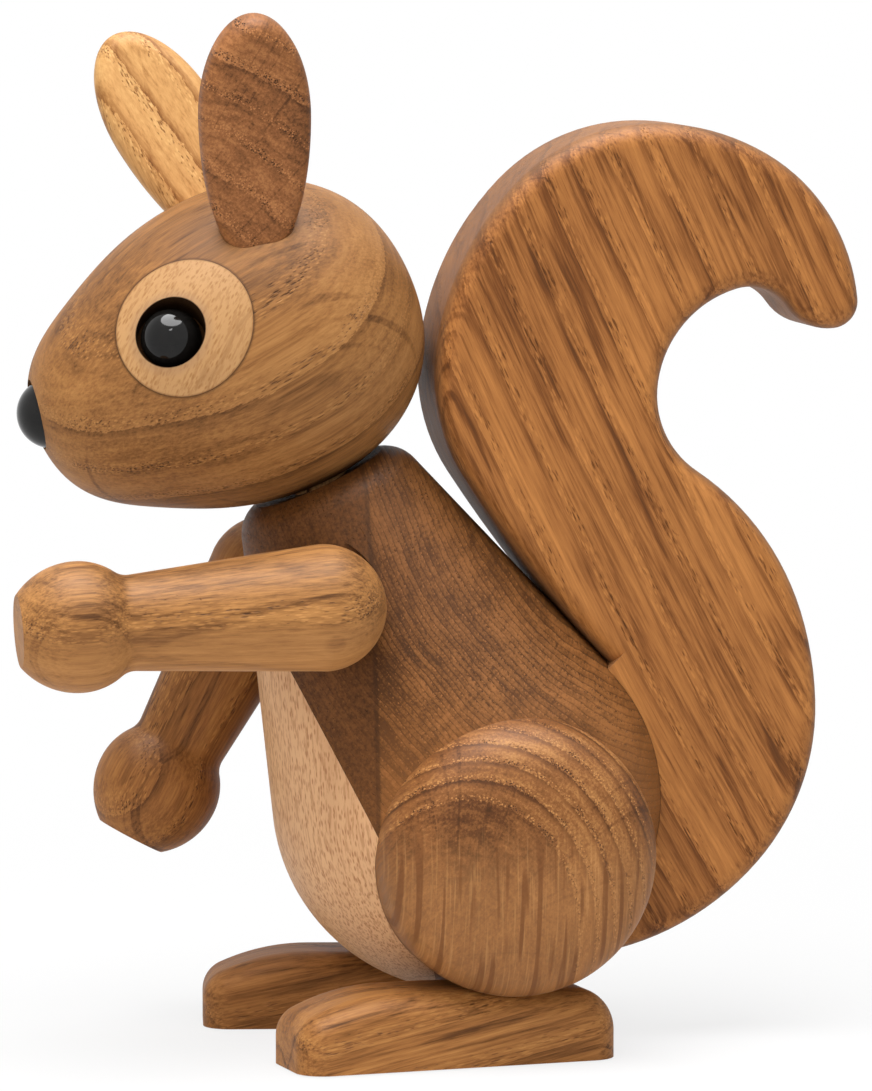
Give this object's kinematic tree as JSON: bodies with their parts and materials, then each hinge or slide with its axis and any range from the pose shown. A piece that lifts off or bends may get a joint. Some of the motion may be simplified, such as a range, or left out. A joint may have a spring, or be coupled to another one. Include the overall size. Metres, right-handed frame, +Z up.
{
  "type": "wooden squirrel figurine",
  "caption": "Seated wooden squirrel on flat feet with an egg head that turns on a neck pin, arms that swing at the shoulders and a broad upright tail with a hooked end.",
  "frame": {"origin": "on the ground, under the middle of the figure's box", "axes": "+Z up from the soles, -X the way the squirrel faces, -Y its left side"},
  "size_m": [0.1216, 0.0626, 0.1452],
  "materials": {
    "torso_wood": "oiled brown oak, fine grain",
    "belly_wood": "oiled pale maple",
    "head_wood": "oiled golden oak",
    "left_ear_wood": "oiled brown oak",
    "right_ear_wood": "oiled pale oak",
    "eye_ring_wood": "oiled pale maple",
    "arm_wood": "oiled golden oak",
    "thigh_wood": "oiled golden oak",
    "foot_wood": "oiled golden oak",
    "tail_wood": "oiled warm oak, long grain",
    "dowel_wood": "plain turned dowel",
    "black_bead": "gloss"
  },
  "bodies": {
    "body": {"torso": "torso_wood", "belly": "belly_wood", "tail": "tail_wood", "upper_tail_dowel": "dowel_wood", "lower_tail_dowel": "dowel_wood", "left_thigh": "thigh_wood", "left_thigh_dowel": "dowel_wood", "left_foot": "foot_wood", "left_foot_dowel": "dowel_wood", "right_thigh": "thigh_wood", "right_thigh_dowel": "dowel_wood", "right_foot": "foot_wood", "right_foot_dowel": "dowel_wood"},
    "head": {"head": "head_wood", "neck_pin": "dowel_wood", "nose": "black_bead", "left_ear": "left_ear_wood", "left_eye_ring": "eye_ring_wood", "left_eye": "black_bead", "right_ear": "right_ear_wood", "right_eye_ring": "eye_ring_wood", "right_eye": "black_bead"},
    "left_arm": {"left_arm": "arm_wood", "left_shoulder_pin": "dowel_wood"},
    "right_arm": {"right_arm": "arm_wood", "right_shoulder_pin": "dowel_wood"}
  },
  "joints": [
    {"name": "head_swivel", "type": "hinge", "parent": "body", "child": "head", "pos_m": [-0.01526, 0, 0.08009], "axis": [-0.4226, 0, 0.9063], "range_deg": [-90, 90]},
    {"name": "left_shoulder", "type": "hinge", "parent": "body", "child": "left_arm", "pos_m": [-0.01852, 0, 0.06389], "axis": [0, 1, 0], "range_deg": [-61, 15]},
    {"name": "right_shoulder", "type": "hinge", "parent": "body", "child": "right_arm", "pos_m": [-0.01852, 0, 0.06389], "axis": [0, 1, 0], "range_deg": [-2.8, 73.2]}
  ]
}
